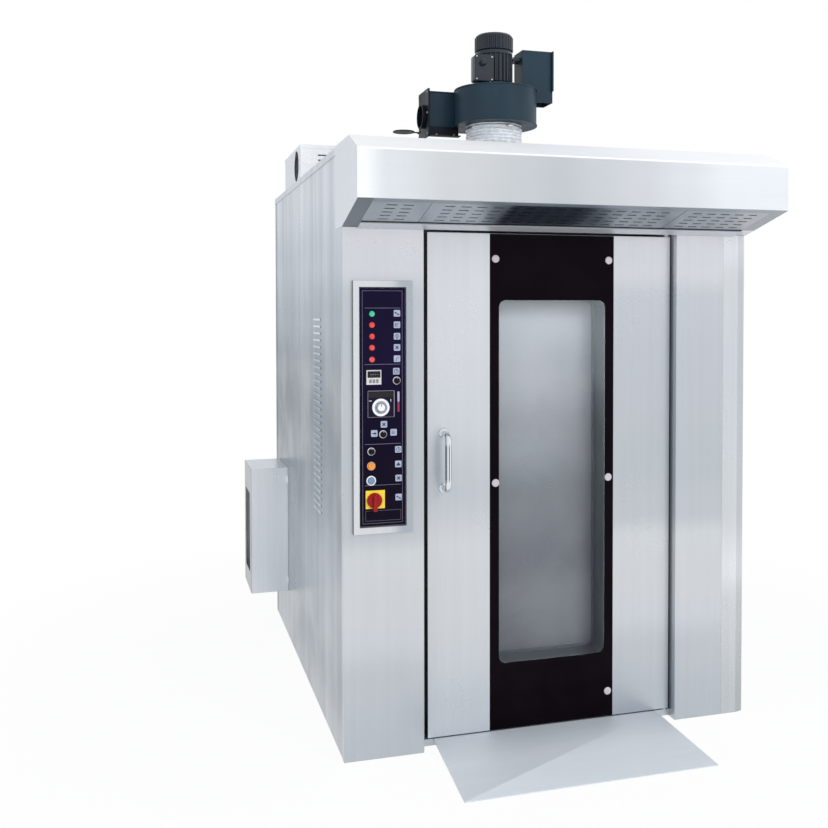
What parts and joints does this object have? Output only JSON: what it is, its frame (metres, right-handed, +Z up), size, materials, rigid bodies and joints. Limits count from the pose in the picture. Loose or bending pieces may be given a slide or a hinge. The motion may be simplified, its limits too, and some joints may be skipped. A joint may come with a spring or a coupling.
{
  "type": "rotating rack oven",
  "caption": "Upright steel rack oven with a glazed pivot door, floor turntable, front exhaust hood with roof blower, control panel and loading ramp.",
  "frame": {"origin": "on the floor under the turntable axis, on the underside of the base frame", "axes": "+Z up, +Y from the door to the rear panel, +X to the right seen from the front"},
  "size_m": [1.889, 2.435, 2.745],
  "materials": {
    "brushed_steel": "vertically brushed stainless sheet",
    "bright_steel": "fine satin stainless, brighter than the panels",
    "galvanised": "zinc coated sheet",
    "dark_steel": "dark mill steel, primed",
    "cast_iron": "cast, unpainted",
    "black_paint": "slate black semi-gloss paint",
    "blue_paint": "machine blue paint",
    "mineral_wool": "mineral wool board",
    "black_rubber": "silicone rubber profile",
    "outer_glass": "dark tinted glass",
    "inner_glass": "clear toughened glass",
    "silver_fabric": "ribbed aluminised flexible duct",
    "panel_film": "dark violet printed film on a plate",
    "lamp_lens": "translucent lens",
    "pale_plastic": "moulded pale grey plastic",
    "white_plastic": "moulded white plastic",
    "black_plastic": "moulded black plastic",
    "orange_plastic": "illuminated orange push cap",
    "blue_plastic": "pale blue push cap",
    "yellow_plastic": "moulded yellow escutcheon",
    "red_plastic": "moulded red switch handle"
  },
  "bodies": {
    "oven_body": {"base_frame": "dark_steel", "floor_pan": "brushed_steel", "left_side_panel": "brushed_steel", "right_side_panel": "brushed_steel", "rear_panel": "brushed_steel", "roof_panel": "brushed_steel", "control_post": "brushed_steel", "right_post": "brushed_steel", "corner_trim": "bright_steel", "door_lintel": "galvanised", "chamber_liner": "brushed_steel", "supply_duct": "brushed_steel", "insulation_jacket": "mineral_wool", "plenum_deck": "mineral_wool", "heat_exchanger": "dark_steel", "flue_header": "dark_steel", "steam_generator": "cast_iron", "burner_box": "brushed_steel", "burner": "black_paint", "bearing_housing": "cast_iron", "drive_chain": "dark_steel", "turntable_gearmotor": "blue_paint", "circulation_motor": "black_paint", "roof_box": "brushed_steel", "door_gasket": "black_rubber", "hood_shell": "bright_steel", "hood_filters": "galvanised", "flex_collar": "silver_fabric", "blower_casing": "black_paint", "blower_motor": "black_paint", "terminal_box": "black_paint", "motor_bracket": "black_paint", "ramp": "brushed_steel", "control_bezel": "bright_steel", "control_plate": "panel_film", "indicator_lamps": "lamp_lens", "timer_module": "pale_plastic", "thermostat_plate": "black_plastic", "switch_plate": "yellow_plastic", "electrical_enclosure": "galvanised"},
    "door": {"door_shell": "galvanised", "door_skin_left": "brushed_steel", "door_skin_right": "brushed_steel", "outer_glass": "outer_glass", "inner_glass": "inner_glass", "window_reveal": "brushed_steel", "door_handle": "bright_steel"},
    "turntable": {"turntable_disc": "brushed_steel", "turntable_spindle": "dark_steel"},
    "drive_sprocket": {"drive_sprocket": "dark_steel"},
    "circulation_fan": {"circulation_fan": "galvanised"},
    "exhaust_impeller": {"exhaust_impeller": "galvanised"},
    "outlet_damper": {"outlet_damper": "black_paint"},
    "thermostat_dial": {"thermostat_dial": "white_plastic"},
    "timer_selector": {"timer_selector": "black_plastic"},
    "heat_selector": {"heat_selector": "black_plastic"},
    "light_selector": {"light_selector": "black_plastic"},
    "steam_button": {"steam_button": "orange_plastic"},
    "start_button": {"start_button": "blue_plastic"},
    "main_switch_handle": {"main_switch_handle": "red_plastic"}
  },
  "joints": [
    {"name": "door_hinge", "type": "hinge", "parent": "oven_body", "child": "door", "pos_m": [0.509, -0.698, 1], "axis": [0, 0, 1], "range_deg": [0, 95]},
    {"name": "turntable_spin", "type": "hinge", "parent": "oven_body", "child": "turntable", "pos_m": [0, 0, 0.03], "axis": [0, 0, 1], "continuous": true},
    {"name": "drive_spin", "type": "hinge", "parent": "oven_body", "child": "drive_sprocket", "pos_m": [0, 0.72, 0.03], "axis": [0, 0, 1], "continuous": true},
    {"name": "circulation_fan_spin", "type": "hinge", "parent": "oven_body", "child": "circulation_fan", "pos_m": [-0.42, 0.81, 1.85], "axis": [0, 0, 1], "continuous": true},
    {"name": "exhaust_fan_spin", "type": "hinge", "parent": "oven_body", "child": "exhaust_impeller", "pos_m": [-0.252, -0.73, 2.466], "axis": [0, 0, 1], "continuous": true},
    {"name": "outlet_damper_hinge", "type": "hinge", "parent": "oven_body", "child": "outlet_damper", "pos_m": [-0.5183, -0.6123, 2.3826], "axis": [0, 1, 0], "range_deg": [0, 90]},
    {"name": "thermostat_turn", "type": "hinge", "parent": "oven_body", "child": "thermostat_dial", "pos_m": [-0.708, -0.75, 1.329], "axis": [0, 1, 0], "range_deg": [0, 270]},
    {"name": "timer_selector_turn", "type": "hinge", "parent": "oven_body", "child": "timer_selector", "pos_m": [-0.646, -0.75, 1.428], "axis": [0, 1, 0], "range_deg": [-60, 60]},
    {"name": "heat_selector_turn", "type": "hinge", "parent": "oven_body", "child": "heat_selector", "pos_m": [-0.699, -0.75, 1.228], "axis": [0, 1, 0], "range_deg": [-45, 45]},
    {"name": "light_selector_turn", "type": "hinge", "parent": "oven_body", "child": "light_selector", "pos_m": [-0.744, -0.75, 1.165], "axis": [0, 1, 0], "range_deg": [0, 90]},
    {"name": "steam_button_press", "type": "slide", "parent": "oven_body", "child": "steam_button", "axis": [0, 1, 0], "range_m": [0, 0.004], "stiffness_N_per_m": 400, "springref_m": -0.002},
    {"name": "start_button_press", "type": "slide", "parent": "oven_body", "child": "start_button", "axis": [0, 1, 0], "range_m": [0, 0.004], "stiffness_N_per_m": 400, "springref_m": -0.002},
    {"name": "main_switch_turn", "type": "hinge", "parent": "oven_body", "child": "main_switch_handle", "pos_m": [-0.733, -0.75, 0.982], "axis": [0, 1, 0], "range_deg": [0, 90]}
  ],
  "couplings": [
    {"joint": "drive_spin", "follows": "turntable_spin", "ratio": 2}
  ]
}
